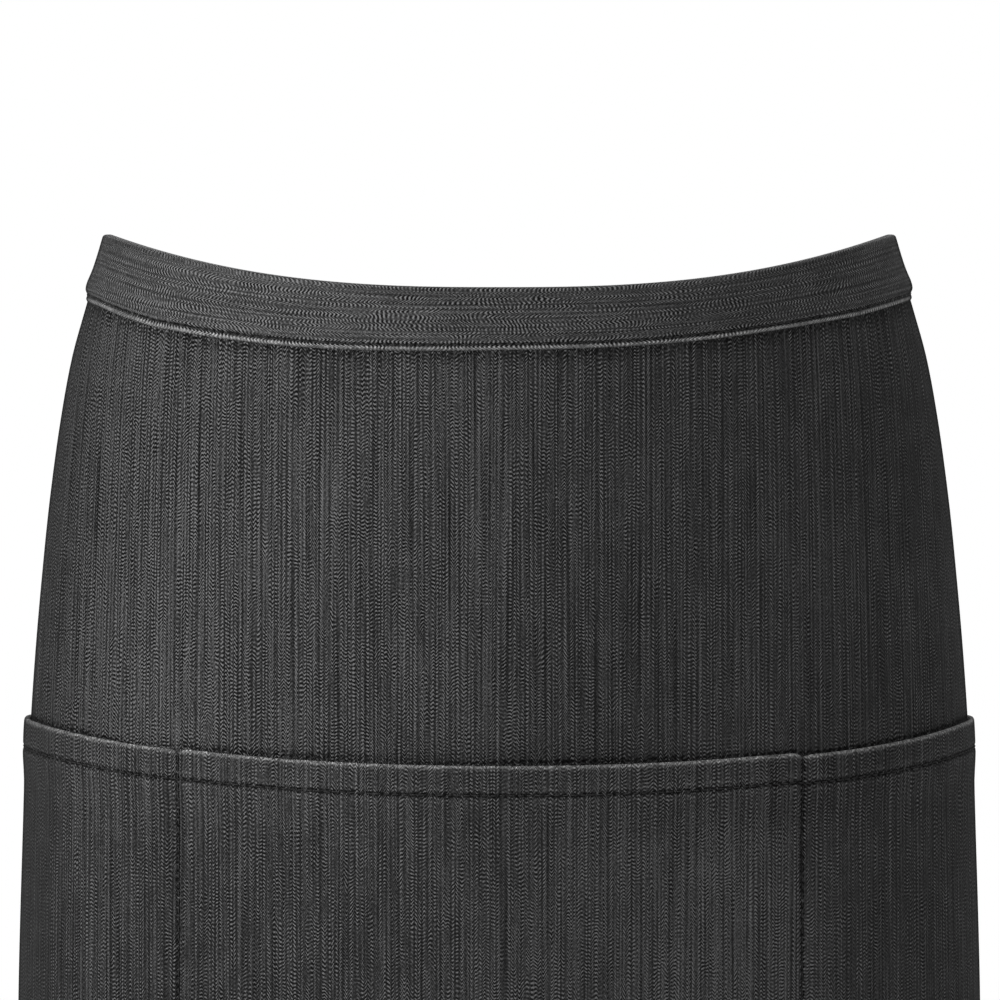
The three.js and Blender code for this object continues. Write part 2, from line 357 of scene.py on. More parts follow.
# Broken twill: short slanting lines of pale weft on a dark warp, which turn the other way from one
# narrow stripe of the warp to the next, with thick and thin warp yarns and a dry, speckled face.
# The stripes and the yarns are in millimetres, and a tone is a power of e.
twill_stripe = 3.4
line_slant = 0.45
yarn_pitch = 1.7
weft_mean_square = 0.46

twill, twill_in, twill_out = shader_group(
    "broken twill",
    [
        ("Place", "NodeSocketVector"),
        ("Line Spacing", "NodeSocketFloat"),
        ("Weft Show", "NodeSocketFloat"),
        ("Slub", "NodeSocketFloat"),
    ],
    [("Tone", "NodeSocketFloat"), ("Height", "NodeSocketFloat")],
)
place = twill_in.outputs["Place"]
weft_input = twill_in.outputs["Weft Show"]


def twill_noise(size, gain, detail=1.0):
    return centred(patches(twill_in.outputs["Place"], size, detail), gain)


warp_mm, weft_mm = (times(length, 1 / MM) for length in split(place))
wandered = plus(warp_mm, twill_noise((13, 600), 22.0))
zigzag = calc("PINGPONG", wandered, twill_stripe)
slanted = calc("MULTIPLY_ADD", zigzag, line_slant, twill_noise((2.6, 40), 5.5))
line_count = calc("DIVIDE", weft_mm, twill_in.outputs["Line Spacing"])
line_phase = plus(line_count, slanted)
lines = calc("SINE", times(line_phase, math.tau))
yarn_wander = twill_noise((7, 500), 16.0)
yarns = calc("SINE", calc("MULTIPLY_ADD", warp_mm, math.tau / yarn_pitch, yarn_wander))
strength = calc("MULTIPLY_ADD", yarns, 0.33, 0.67)
shown = ranged(patches(place, (2.6, 10), 2.0), (0.32, 0.64), (0.3, 1.4))
weft_gain = times(strength, shown)
weft_show = times(lines, weft_gain)

# Where the weft shows strongly its lines would also brighten the cloth, so that is evened out
evened = calc("MULTIPLY_ADD", weft_gain, weft_gain, -weft_mean_square)
for _ in range(2):
    evened = times(evened, weft_input)

thin_slubs = twill_noise((1.15, 60), 1.3, 0.4)
slubs = plus(thin_slubs, twill_noise((4, 90), 0.12))
yarn_size = plus(twill_noise((2.1, 70), 2.4), 0.45)
slubs = plus(slubs, times(yarns, yarn_size))

# The twill's turns are thin dark lines down the cloth, which come and go
turns = calc("COSINE", times(wandered, math.tau / twill_stripe))
turns = calc("POWER", calc("MAXIMUM", turns, 0.0), 3.0)
turn_depth = plus(twill_noise((3.1, 60), 1.7), 0.22)
slubs = calc("SUBTRACT", slubs, times(turns, turn_depth))
slubs = times(slubs, twill_in.outputs["Slub"])
fine = calc("MULTIPLY_ADD", weft_show, 2.15, twill_noise((0.9, 1.1), 2.4))
tone = calc("MULTIPLY_ADD", fine, weft_input, slubs)
tone = calc("MULTIPLY_ADD", evened, -0.45, tone)
twill.links.new(tone, twill_out.inputs["Tone"])
height = calc("MULTIPLY_ADD", lines, 0.35, times(thin_slubs, 0.4))
twill.links.new(height, twill_out.inputs["Height"])

# The dye: paler clouds that the wash leaves, and pale lint where the cloth is rubbed. Marks below nought
# darken it
# with painted shade: dark lines where stitches pinch the cloth into a seam, and thin painted shadows
# beside raised edges
stitch_pitch = 3.5
darkest_painted_shade = -1.1
brightest = 5.0

washed, washed_in, washed_out = shader_group(
    "washed dye and painted shade",
    [
        ("Place", "NodeSocketVector"),
        ("Tone", "NodeSocketFloat"),
        ("Rubbed And Shaded", "NodeSocketFloat"),
        ("Dye", "NodeSocketColor"),
        ("Worn", "NodeSocketColor"),
        ("Cloud", "NodeSocketFloat"),
        ("Wash", "NodeSocketFloat"),
    ],
    [("Color", "NodeSocketColor")],
)
place = washed_in.outputs["Place"]
clouds = centred(patches(place, (60, 85), 3.0), 1.0)
smudges = centred(patches(place, (14, 11), 2.0), 1.3)
clouds = times(plus(clouds, smudges), washed_in.outputs["Cloud"])
clouds = plus(clouds, washed_in.outputs["Wash"])
lit_tone = calc("POWER", math.e, plus(washed_in.outputs["Tone"], clouds))
uneven = centred(patches(place, (1.7, 1.7)), 4.0)
# Painted shade: marks below nought darken the dye, in beads at the stitch pitch
stitch_shade_beads = plus(*split(place))
stitch_shade_beads = calc("SINE", times(stitch_shade_beads, math.tau / (stitch_pitch * MM)))
stitch_shade_beads = calc("MULTIPLY_ADD", stitch_shade_beads, 0.35, uneven)
painted_seam_shade = calc("MINIMUM", washed_in.outputs["Rubbed And Shaded"], 0.0)
painted_seam_shade = times(painted_seam_shade, plus(stitch_shade_beads, 0.95))
painted_seam_shade = calc("MAXIMUM", painted_seam_shade, darkest_painted_shade)
lit_tone = times(lit_tone, calc("MULTIPLY_ADD", painted_seam_shade, 0.8, 1.0))
lit_tone = calc("MINIMUM", lit_tone, brightest)
patchy = ranged(patches(place, (1.3, 1.3), 2.0), (0.34, 0.62), (0.35, 1))
rub = calc("MAXIMUM", washed_in.outputs["Rubbed And Shaded"], 0.0)
worn = add_node(washed, "ShaderNodeMix", data_type="RGBA")
worn_inputs = [socket for socket in worn.inputs if socket.type == "RGBA"]
washed.links.new(times(rub, patchy), worn.inputs[0])
washed.links.new(scaled(washed_in.outputs["Dye"], lit_tone), worn_inputs[0])
lint_tone = calc("MULTIPLY_ADD", washed_in.outputs["Tone"], 0.45, clouds)
lint = scaled(washed_in.outputs["Worn"], calc("POWER", math.e, lint_tone))
washed.links.new(lint, worn_inputs[1])
worn_output = [socket for socket in worn.outputs if socket.type == "RGBA"][0]
washed.links.new(worn_output, washed_out.inputs["Color"])


def denim(name, dye, worn, spacing=1.52, weft_show=1.0, slub=1.0, cloud=0.35, relief=0.00035):
    """Washed black denim in the given dye and worn colour, with painted shade darkening its outline."""
    material = bpy.data.materials.new(name)
    material.use_nodes = True
    tree = material.node_tree
    shader = tree.nodes["Principled BSDF"]
    shader.inputs["Roughness"].default_value = 0.88
    shader.inputs["Specular IOR Level"].default_value = 0.12
    shader.inputs["Sheen Weight"].default_value = 0.02
    shader.inputs["Sheen Roughness"].default_value = 0.45
    cloth = add_node(tree, "ShaderNodeUVMap", uv_map="cloth").outputs[0]
    rubbed_and_shaded, faded, wash = (
        add_node(tree, "ShaderNodeAttribute", attribute_name=label).outputs["Fac"]
        for label in ("rubbed_and_shaded", "faded", "washed")
    )
    weave = add_node(tree, "ShaderNodeGroup", node_tree=twill)
    dyed = add_node(tree, "ShaderNodeGroup", node_tree=washed)
    for group, label, value in (
        (weave, "Place", cloth),
        (weave, "Line Spacing", spacing),
        (weave, "Weft Show", times(faded, weft_show)),
        (weave, "Slub", times(faded, slub)),
        (dyed, "Place", cloth),
        (dyed, "Tone", weave.outputs["Tone"]),
        (dyed, "Rubbed And Shaded", rubbed_and_shaded),
        (dyed, "Wash", wash),
        (dyed, "Dye", (*dye, 1)),
        (dyed, "Worn", (*worn, 1)),
        (dyed, "Cloud", cloud),
    ):
        feed(group.inputs[label], value)
    # Painted shade: the colour darkens towards the outline, where the cloth turns away from the camera
    turned = add_node(tree, "ShaderNodeLayerWeight")
    turned.inputs["Blend"].default_value = 0.5
    painted_rim_shade = ranged(turned.outputs["Facing"], (0.83, 0.92), (1, 0.12))
    tree.links.new(scaled(dyed.outputs["Color"], painted_rim_shade), shader.inputs["Base Color"])
    raised = add_node(tree, "ShaderNodeBump")
    raised.inputs["Strength"].default_value = 0.6
    raised.inputs["Distance"].default_value = relief
    tree.links.new(weave.outputs["Height"], raised.inputs["Height"])
    tree.links.new(raised.outputs[0], shader.inputs["Normal"])
    return material


washed_black, pale_lint = (0.038, 0.038, 0.0384), (0.26, 0.26, 0.26)
black_denim = denim("black denim", washed_black, pale_lint)
denim_reverse = denim(
    "denim reverse", (0.058, 0.058, 0.06), (0.14, 0.14, 0.14), weft_show=0.75, slub=0.4
)

# The reverse takes its weave from another stretch of the cloth
reverse_shift = np.array([0.8, 0.0])


def drift(across, level, *changes):
    """A level that changes by an amount from one place across the cloth to another."""
    return level + sum(amount * smooth_step(start, stop, across) for amount, start, stop in changes)


# How far below its own line the waistband's lower edge lies, along the cloth
band_slant = 1.1
band_sag_places = [-222, -189, -166, -148, -120, -80, -38, 0, 42, 84, 106, 131, 155, 189]
band_sag = [-1.0, -0.4, 1.0, 1.8, 1.5, 1.0, 0.4, -0.1, -0.4, -0.65, -0.75, -0.4, 0.4, 0.4]


def mouth_sag(across):
    """How far below its own level the pocket's mouth lies against the skirt."""
    places = [-340, -150, -131, -126, -60, 60, 100, 119, 124, 150, 180, 215]
    sag = [0.2, -0.1, -0.6, -1.1, -1.4, -1.1, -0.8, -0.4, 0.8, 1.2, 1.1, 0.3]
    return np.interp(across, places, sag)


def band_bottom(across):
    """How far down the cloth the waistband's lower edge lies."""
    line = band_height - band_slant * np.sin(across / apron_half * math.pi / 2)
    return line + np.interp(across, band_sag_places, band_sag)


def edge_round(distance, cloth):
    """How much of a cloth's thickness is left at that distance from its edge."""
    u = np.clip(distance / (0.5 * cloth), 0, 1)
    return 0.25 + 0.75 * np.sqrt(1 - (1 - u) ** 2)


# The top edge lies well inside the waistband, but only just inside it at the band's two ends. Steps
# are fine at the edges and at the sewing, which runs hem_sewn_in short of a hem's inner edge.
edge_steps = np.array([0, 0.15, 0.4, 0.8])
hem_sewn_in = 2.0
side_sewing = apron_half - side_hem + hem_sewn_in
bottom_sewing = apron_length - bottom_hem + hem_sewn_in
in_band = 11.7
skirt_across = np.concatenate([
    -apron_half + edge_steps,
    ease_in(-apron_half + 1.5, -side_sewing, 0.6, 1.2, 3)[:-1],
    ease_in(-side_sewing, side_sewing, 0.6, 3.8, 12)[:-1],
    ease_in(side_sewing, apron_half - 1.5, 0.6, 1.2, 3),
    apron_half - edge_steps[::-1],
])
at_band_end = smooth_step(apron_half - 9, apron_half - 5, np.abs(skirt_across))
skirt_top = band_bottom(skirt_across) - in_band + (in_band - 0.4) * at_band_end
skirt_levels = np.concatenate([
    ease_in(band_height - in_band, hip_drop, 0.6, 5, 12)[:-1],
    ease_in(hip_drop, bottom_sewing, 0.6, 5, 12)[:-1],
    ease_in(bottom_sewing, apron_length - 0.7, 0.6, 2.5, 5),
    apron_length - np.array([0.35, 0.12, 0]),
])
skirt_shares = (skirt_levels - skirt_levels[0]) / (apron_length - skirt_levels[0])
skirt_down = skirt_top + (apron_length - skirt_top) * skirt_shares[:, None]
skirt_side = apron_half - np.abs(skirt_across)
skirt_hem = apron_length - skirt_down
hem_layer = np.maximum(
    smooth_step(side_hem + 0.5, side_hem - 0.5, skirt_side),
    smooth_step(bottom_hem + 0.5, bottom_hem - 0.5, skirt_hem),
) * smooth_step(30, 60, skirt_down)
left_at_edge = np.minimum(
    edge_round(skirt_side, 2 * skirt_cloth),
    edge_round(skirt_hem, 2 * skirt_cloth),
)


def at_hem_sewing(width):
    """One at the sewing of the side and bottom hems."""
    side = bump(skirt_side, side_hem - hem_sewn_in, width)
    return np.maximum(side, bump(skirt_hem, bottom_hem - hem_sewn_in, width))


seam_dent = -0.35 * at_hem_sewing(1.6) * smooth_step(26, 40, skirt_down)
skirt_thickness = skirt_cloth * (1 + hem_layer) * left_at_edge
skirt_face = seam_dent - (1 - left_at_edge) * skirt_cloth / 2
# Pale wear along the hem's edge; painted shade in thin lines under the waistband, along the pocket's
# mouth and at the hem sewing
skirt_wear_and_shade = (
    0.6 * bump(skirt_hem, 0, 1.2)
    - 1.2 * bump(skirt_down - band_bottom(skirt_across), 0.2, 1.2)
    - 1.0 * bump(skirt_down - mouth_sag(skirt_across), hip_drop - 0.6, 0.8)
    - 0.7 * at_hem_sewing(0.9)
)

# The weave shows most left of the middle; the tone is darker towards the far left and the right, and in
# two broad patches
skirt_weave_show = drift(skirt_across, 1.22, (-0.62, -190, 170), (-0.35, -175, -215))
skirt_tone_drift = (
    drift(skirt_across, 0.07, (-0.3, -165, -215), (-0.05, -60, -120), (-0.15, 120, 190))
    - 0.12 * bump(skirt_across, -75, 45)
    - 0.1 * bump(skirt_across, 45, 30)
)
skirt_map = cloth_place(skirt_across, skirt_down)
skirt = cloth_piece(
    "skirt_panel",
    cloth_point(skirt_across, skirt_down, skirt_face),
    cloth_point(skirt_across, skirt_down, skirt_face - skirt_thickness),
    skirt_map,
    skirt_map + reverse_shift,
    [black_denim, denim_reverse],
    (skirt_wear_and_shade, 0),
    skirt_weave_show,
    skirt_tone_drift,
)
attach(skirt, "root")
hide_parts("skirt")

# The hems of the skirt are sewn with a dark polyester thread, in one row along each side and one
# along the bottom, whose stitches sink into the cloth at both ends.
stitch_length = 2.8
thread_width = 0.6
thread_twist = 0.5

sewing_thread = bpy.data.materials.new("sewing thread")
sewing_thread.use_nodes = True
thread_tree = sewing_thread.node_tree
thread_shader = thread_tree.nodes["Principled BSDF"]
thread_shader.inputs["Roughness"].default_value = 0.55
thread_shader.inputs["Specular IOR Level"].default_value = 0.2
thread_place = add_node(thread_tree, "ShaderNodeUVMap", uv_map="cloth").outputs[0]
thread_noise = patches(thread_place, (1.2, 1.2))
thread_tone = ranged(thread_noise, (0, 1), (0.012, 0.05))
thread_tree.links.new(thread_tone, thread_shader.inputs["Base Color"])
twist = plus(*split(thread_place))
twist = times(twist, math.tau / (thread_twist * MM))
twist = calc("SINE", twist)
thread_bump = add_node(thread_tree, "ShaderNodeBump")
thread_bump.inputs["Strength"].default_value = 0.4
thread_bump.inputs["Distance"].default_value = 0.0001
thread_tree.links.new(twist, thread_bump.inputs["Height"])
thread_tree.links.new(thread_bump.outputs[0], thread_shader.inputs["Normal"])

# A stitch's rings: along as a share of its length, width as a share of the thread's, and rise
stitch_rings = np.array([
    [0, 0.4, -0.35],
    [0.15, 0.85, 0.02],
    [0.5, 1, 0.12],
    [0.85, 0.85, 0.02],
    [1, 0.4, -0.35],
])
stitch_sides = 6


def sewn_rows(name, rows):
    """One piece of thread work: each row is a line of points on the cloth and its outward ways."""
    ring_turn = np.arange(stitch_sides) * math.tau / stitch_sides
    points, places = [], []
    for line, outward in rows:
        arc = np.concatenate([[0], np.cumsum(np.linalg.norm(np.diff(line, axis=0), axis=1))])
        starts = np.arange(0.4 * MM, arc[-1] - stitch_length * MM, stitch_pitch * MM)
        at = starts[:, None] + stitch_rings[None, :, 0] * stitch_length * MM
        middle = np.stack([np.interp(at, arc, line[:, axis]) for axis in range(3)], -1)
        up = np.stack([np.interp(at, arc, outward[:, axis]) for axis in range(3)], -1)
        up /= np.linalg.norm(up, axis=-1)[..., None]
        along = (middle[:, -1] - middle[:, 0])[:, None, :]
        side = np.cross(along, up)
        side /= np.linalg.norm(side, axis=-1)[..., None]
        radius = stitch_rings[None, :, 1, None, None] * thread_width / 2 * MM
        centre = middle + up * stitch_rings[None, :, 2, None] * MM
        around = side[:, :, None] * np.cos(ring_turn)[:, None]
        around = around + up[:, :, None] * np.sin(ring_turn)[:, None]
        points.append((centre[:, :, None] + around * radius).reshape(-1, 3))
        spot = np.stack([at, np.full_like(at, len(places) * 0.01)], -1)[:, :, None]
        turn = np.stack([0 * ring_turn, ring_turn * 0.0002], -1)
        places.append((spot + turn).reshape(-1, 2))
    points, places = np.concatenate(points), np.concatenate(places)
    ring_count = len(stitch_rings)
    grid = np.arange(len(points)).reshape(-1, ring_count, stitch_sides)
    turned = np.roll(grid, -1, axis=2)
    walls = np.stack([grid[:, :-1], grid[:, 1:], turned[:, 1:], turned[:, :-1]], -1).reshape(-1, 4)
    faces = walls.tolist() + grid[:, 0].tolist() + grid[:, -1, ::-1].tolist()
    piece = new_piece(name, points, faces, places, [sewing_thread], {})
    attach(piece, "root")


def sewing_line(across, down, offset):
    """A line of sewing on the worn cloth, with the ways that face out of the cloth."""
    line = cloth_point(across, down, offset)
    return line, cloth_point(across, down, offset + 1) - line


skirt_thread_level = -0.3
hem_along = np.linspace(-side_sewing, side_sewing, 500)
side_down = np.linspace(28, bottom_sewing, 300)
sewn_rows("skirt_hem_stitches", [
    sewing_line(hem_along, bottom_sewing, skirt_thread_level),
    sewing_line(-side_sewing, side_down, skirt_thread_level),
    sewing_line(side_sewing, side_down, skirt_thread_level),
])

# The pocket
#
# A patch of the same denim as wide as the skirt, sewn on at its sides and its bottom. Its top edge
# is turned in and stitched, and two upright seams part it into three compartments.

pocket_drop = 187.0
pocket_depth = 205.0
pocket_hem = 11.3
pocket_cloth = 1.1
pocket_ease = 0.3
pocket_gape = 7.0
seam_roll = 8.0
left_seam, right_seam = -130.0, 122.0

pocket_across = np.concatenate([
    -apron_half + edge_steps,
    ease_in(-apron_half + 1.5, left_seam, 0.5, 2.2, 5)[:-1],
    ease_in(left_seam, right_seam, 0.5, 2.2, 5)[:-1],
    ease_in(right_seam, apron_half - 1.5, 0.5, 2.2, 5),
    apron_half - edge_steps[::-1],
])
pocket_rows = np.concatenate([
    [0, 0.12, 0.35, 0.7, 1.2],
    np.arange(2.0, 20, 0.8),
    np.linspace(20.5, pocket_depth - 1, 44),
    [pocket_depth - 0.5, pocket_depth - 0.15, pocket_depth],
])[:, None]
pocket_share = pocket_rows / pocket_depth
side_left = apron_half - np.abs(pocket_across)
seam_places = np.array([-apron_half + side_hem, left_seam, right_seam, apron_half - side_hem])


def gape_at(across, share):
    """How far the pocket stands off the skirt, at a share of its depth: most in the middle."""
    to_side = np.min(np.abs(across[..., None] - seam_places), -1)
    rise = 1 - (1 - np.minimum(to_side / seam_roll, 1)) ** 2
    part = np.clip((across - left_seam) / (right_seam - left_seam), 0, 1)
    return (pocket_ease * rise + pocket_gape * np.sin(part * math.pi) ** 2) * (1 - share**3)


stand_off = np.where(side_left > side_hem, gape_at(pocket_across, pocket_share), 0)

# The hem puckers between its stitches
pucker_rng = np.random.default_rng(11)
pucker_at = np.cumsum(pucker_rng.uniform(6, 12, 90)) - apron_half
pucker_size = pucker_rng.uniform(0.3, 1.0, 90)
puckers = sum(size * bump(pocket_across, at, 2.4) for at, size in zip(pucker_at, pucker_size))
in_hem = bump(pocket_rows, 5.5, 4.5)
below_hem = bump(pocket_rows, pocket_hem + 3.5, 3.5)
hem_groove = bump(pocket_rows, pocket_hem, 0.9)


def at_seams(width):
    """One at the two upright seams, which lie far apart."""
    return bump(pocket_across, left_seam, width) + bump(pocket_across, right_seam, width)


seam_groove = at_seams(0.9)
hem_share = smooth_step(pocket_hem + 3, pocket_hem - 1, pocket_rows)
pocket_edge = np.minimum(
    np.minimum(edge_round(pocket_rows, 3.2), edge_round(side_left, 2 * pocket_cloth)),
    edge_round(pocket_depth - pocket_rows, 2 * pocket_cloth),
)
pocket_gap = 0.3
hem_rise, hem_rise_reach = 0.95, 16
pocket_thickness = pocket_cloth * (1 + hem_share)
pocket_outer = (
    pocket_gap
    + stand_off
    + pocket_cloth
    + hem_rise * smooth_step(pocket_hem + hem_rise_reach, pocket_hem, pocket_rows)
    + 0.3 * puckers * (0.6 * in_hem + 0.35 * below_hem)
    - 0.55 * hem_groove * smooth_step(2, 14, side_left)
    - 0.75 * seam_groove * (1 - 0.4 * pocket_share)
)
pocket_middle = pocket_outer - pocket_thickness / 2
edge_wear = 0.45 + 0.25 * smooth_step(10, 90, pocket_across) + 0.7 * puckers
# Pale wear along the top edge and beside the hem's sewing; painted shade along the hem's row of sewing
# and the two upright seams
pocket_wear_and_shade = (
    1.5 * bump(pocket_rows, 0.4, 0.7) * edge_wear
    + 0.2 * bump(pocket_rows, pocket_hem - 2.3, 1.0) * puckers
    + 0.2 * bump(pocket_rows, pocket_hem + 2.1, 0.9) * puckers
    - 1.3 * bump(pocket_rows, pocket_hem, 0.8)
    - 1.3 * seam_groove
)

# The seams pull the mouth down a little, and its slight waves die out down the patch
pocket_line = pocket_drop + pocket_rows
pocket_line = pocket_line + 0.9 * at_seams(2.2) * bump(pocket_rows, 0, 3)
pocket_line = pocket_line + mouth_sag(pocket_across) * (1 - pocket_share) ** 4
patch_wash = (
    -0.06
    - 0.2 * bump(pocket_across, -105, 60)
    + 0.12 * bump(pocket_across, 0, 50)
    + 0.5 * bump(pocket_across, 84, 60)
)
hem_wash = 0.18 * bump(pocket_across, 75, 45)
pocket_wash = patch_wash * smooth_step(14, 40, pocket_rows) - 0.03
pocket_wash = pocket_wash + hem_wash * smooth_step(30, 10, pocket_rows)
pocket_fade = drift(pocket_across, 0.9, (-0.4, -170, -210), (-0.1, -100, 0), (-0.2, 100, 150))
pocket_denim = denim("pocket denim", washed_black, pale_lint, slub=0.9)
half_patch = pocket_edge * pocket_thickness / 2
pocket = cloth_piece(
    "pocket_patch",
    cloth_point(pocket_across, pocket_line, pocket_middle + half_patch),
    cloth_point(pocket_across, pocket_line, pocket_middle - half_patch),
    cloth_place(pocket_across + 37, pocket_line + 61),
    cloth_place(pocket_across, pocket_line) + reverse_shift,
    [pocket_denim, denim_reverse],
    (np.clip(pocket_wear_and_shade, -1, 1), np.clip(0.6 * pocket_wear_and_shade, -1, 1)),
    pocket_fade,
    pocket_wash,
)
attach(pocket, "root")
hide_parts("pocket")

# Its rows of sewing follow the hem, the two upright seams and the bottom, each in its groove
patch_face = pocket_gap + pocket_cloth
hem_at = np.linspace(-apron_half + 1, apron_half - 1, 700)
hem_part = pocket_hem / pocket_depth
hem_line = pocket_drop + pocket_hem + mouth_sag(hem_at) * (1 - hem_part) ** 4
hem_face = patch_face + gape_at(hem_at, hem_part) + hem_rise - 0.45
seam_rows = np.linspace(1.5, pocket_depth - 3, 260)
seam_face = patch_face + hem_rise * smooth_step(pocket_hem + hem_rise_reach, pocket_hem, seam_rows)
seam_face = seam_face - 0.55 + 0.25 * seam_rows / pocket_depth
sewn_rows("pocket_stitches", [
    sewing_line(hem_at, hem_line, hem_face),
    sewing_line(left_seam, pocket_drop + seam_rows, seam_face),
    sewing_line(right_seam, pocket_drop + seam_rows, seam_face),
    sewing_line(hem_at, pocket_drop + pocket_depth - 2.2, patch_face - 0.05),
])

# The waistband
#
# A strip of the denim with its grain turned a quarter, folded lengthwise over the skirt's top edge
# and stitched close to its lower edge, which is rubbed pale.

band_wall = 1.2
band_lap = 12.0
band_gap = 0.3
band_stitch_up = 2.4
fold_squareness = 0.6
fold_top = 0.5

band_across = np.concatenate([
    -apron_half + edge_steps,
    np.linspace(-apron_half + 1.6, apron_half - 1.6, 330),
    apron_half - edge_steps[::-1],
])
fold_turn = np.linspace(math.pi, 0, 19)
band_outside = band_gap + band_wall
band_inside = -skirt_cloth - band_gap - band_wall
fold_radius = (band_outside - band_inside) / 2
wall_steps = np.concatenate([
    np.linspace(fold_radius, band_height - 6, 12)[1:],
    band_height - np.array([5.2, 4.5, 3.9, 3.4, 3.0, 2.6, 2.2, 1.8, 1.4, 1.0, 0.65, 0.35, 0.12, 0]),
])
band_shares = wall_steps / band_height
end_left = edge_round(apron_half - np.abs(band_across), 2 * band_wall)
bottom = band_bottom(band_across)


def over_fold(inner, fold, outer):
    """One column of numbers down the strip: from its inner edge over the fold to its outer edge."""
    return np.concatenate([inner, fold, outer])[:, None]


def power_of(value, squareness):
    """A sine or a cosine of a rounded square."""
    return np.sign(value) * np.abs(value) ** squareness


wall_ones = np.ones(len(wall_steps))
fold_drop = (fold_radius - fold_top) * (1 - power_of(np.sin(fold_turn), fold_squareness))
fold_level = (fold_top + fold_drop)[:, None] + 0 * bottom
band_down = np.concatenate([band_shares[::-1, None] * bottom, fold_level, band_shares[:, None] * bottom])
fold_out = (band_outside + band_inside) / 2
fold_out = fold_out + fold_radius * power_of(np.cos(fold_turn), fold_squareness)
band_face = over_fold(band_inside * wall_ones, fold_out, band_outside * wall_ones)
to_edge = over_fold(1 - band_shares[::-1], np.ones(len(fold_turn)), 1 - band_shares) * band_height
band_side = over_fold(-wall_ones, -np.cos(fold_turn)[::-1], wall_ones)

# Along the lower edge the cloth rises in a ridge, dips at the row of sewing and swells above it
wave_rng = np.random.default_rng(5)
ridge_wave = sum(
    wave_rng.uniform(0.3, 1) * np.sin(band_across * rate + wave_rng.uniform(0, 6))
    for rate in wave_rng.uniform(0.25, 1.1, 9)
) / 5
ridge = bump(to_edge, 1.1, 0.9) * (0.12 + 0.08 * ridge_wave)
at_side = smooth_step(120, 200, np.abs(band_across))
groove = -0.3 * bump(to_edge, band_stitch_up, 0.6) * (1 - 0.7 * at_side)
flattened = -(0.5 + 0.42 * at_side) * smooth_step(4.6, 2.0, to_edge)
crown = 0.45 * bump(to_edge, 7.5, 5) + 0.5 * at_side * bump(to_edge, 6, 3) + flattened
band_relief = band_side * (ridge + groove + crown)
under = np.clip(to_edge / 1.1, 0, 1)
round_edge = 1 - np.sqrt(1 - (1 - under) ** 2)
band_surface = band_face + band_relief - band_side * round_edge * band_wall * 0.7
slot_down = np.maximum(band_down, bottom - band_lap)
slot_face = np.clip(band_face - band_side * band_wall, -skirt_cloth - band_gap, band_gap)
mid_face = (band_surface + slot_face) / 2
band_surface = mid_face + (band_surface - mid_face) * end_left
path = over_fold(-wall_steps[::-1] - 4, -np.cos(fold_turn)[::-1] * 3, wall_steps + 4)
band_map = cloth_place(path, band_across)
# Pale wear along the lower edge and the top of the fold; painted shade along the row of sewing
band_wear_and_shade = (
    bump(to_edge, 1.0, 0.75) * (0.75 + 0.5 * ridge_wave + 0.3 * smooth_step(20, 130, band_across))
    - 1.4 * bump(to_edge, band_stitch_up, 0.6)
    + 0.12 * bump(band_down, 0, 1.5)
) * np.where(band_side > 0.5, 1, 0.4)
band_denim = denim(
    "band denim", (0.049, 0.049, 0.0494), (0.27, 0.27, 0.27), spacing=1.64, slub=0.6
)
waistband = cloth_piece(
    "waistband_strip",
    cloth_point(band_across, band_down, band_surface),
    cloth_point(band_across, slot_down, slot_face),
    band_map,
    band_map + reverse_shift,
    [band_denim],
    (np.clip(band_wear_and_shade, -1, 1), 0),
    drift(band_across, 0.95, (-0.1, -110, -180), (-0.25, 0, 120)),
    drift(band_across, 0.1, (0.08, -20, -120)) + 0.12 * np.abs(band_across / apron_half),
)
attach(waistband, "root")
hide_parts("waistband")

band_row = band_across[3:-3]
band_row_face = band_outside - 0.4 - 0.38 * at_side[3:-3]
sewn_rows("waistband_stitches", [
    sewing_line(band_row, band_bottom(band_row) - band_stitch_up, band_row_face),
])

# The ties
#
# Two straps of the same denim, folded double and stitched along both edges. They run on from the
# ends of the waistband, round the back, and are gathered where they are knotted.

tie_width = 22.0
tie_cloth = 1.6
tie_clearance = 0.4
gathered_width = 0.6
gathered_cloth = 1.7
tie_middle = -skirt_cloth / 2
tie_stitch_in = 2.2
thread_sunk = 0.25
row_start = apron_half + 2
strap_fold = 1.1
knot_down = band_height / 2

# The knot's size across, from front to back and up
knot_size = np.array([32.0, 14.0, 28.0])
knot_stand_off = 4.0
in_knot = 5.0
half_girths = np.array([ring_lengths(level)[-1] for level in table_levels])
tie_share = np.linspace(0, 1, 130)
tie_across_strap = np.concatenate([
    [-0.5, -0.495, -0.482, -0.46], np.linspace(-0.43, 0.43, 27), [0.46, 0.482, 0.495, 0.5]
])


def knot_face(down):
    """The length across at which a strap meets the knot."""
    return np.interp(down, table_levels, half_girths) - knot_size[0] / 2


def gathers(place, growth, seed):
    """Soft folds that run along a gathered strap and part as it opens."""
    fold_rng = np.random.default_rng(seed)
    total = 0
    for rate in (1.6, 2.7, 3.9):
        size = fold_rng.uniform(0.5, 1)
        total = total + size * np.cos(math.tau * rate * place + fold_rng.uniform(0, 6))
    return growth * total / 2.2


def strap_edge(place):
    """How much of the strap's thickness is left towards its two folded edges."""
    return np.sqrt(np.clip(1 - (np.abs(place) * 2) ** 14, 0.03, 1))


tie_denim = denim(
    "tie denim", (0.046, 0.046, 0.0465), (0.2, 0.2, 0.2), weft_show=0.95, slub=0.8, spacing=1.5
)


def strap_dent(place, width):
    """How far the two rows of sewing sink into each face."""
    return 0.3 * bump((0.5 - np.abs(place)) * width, tie_stitch_in, 0.7)


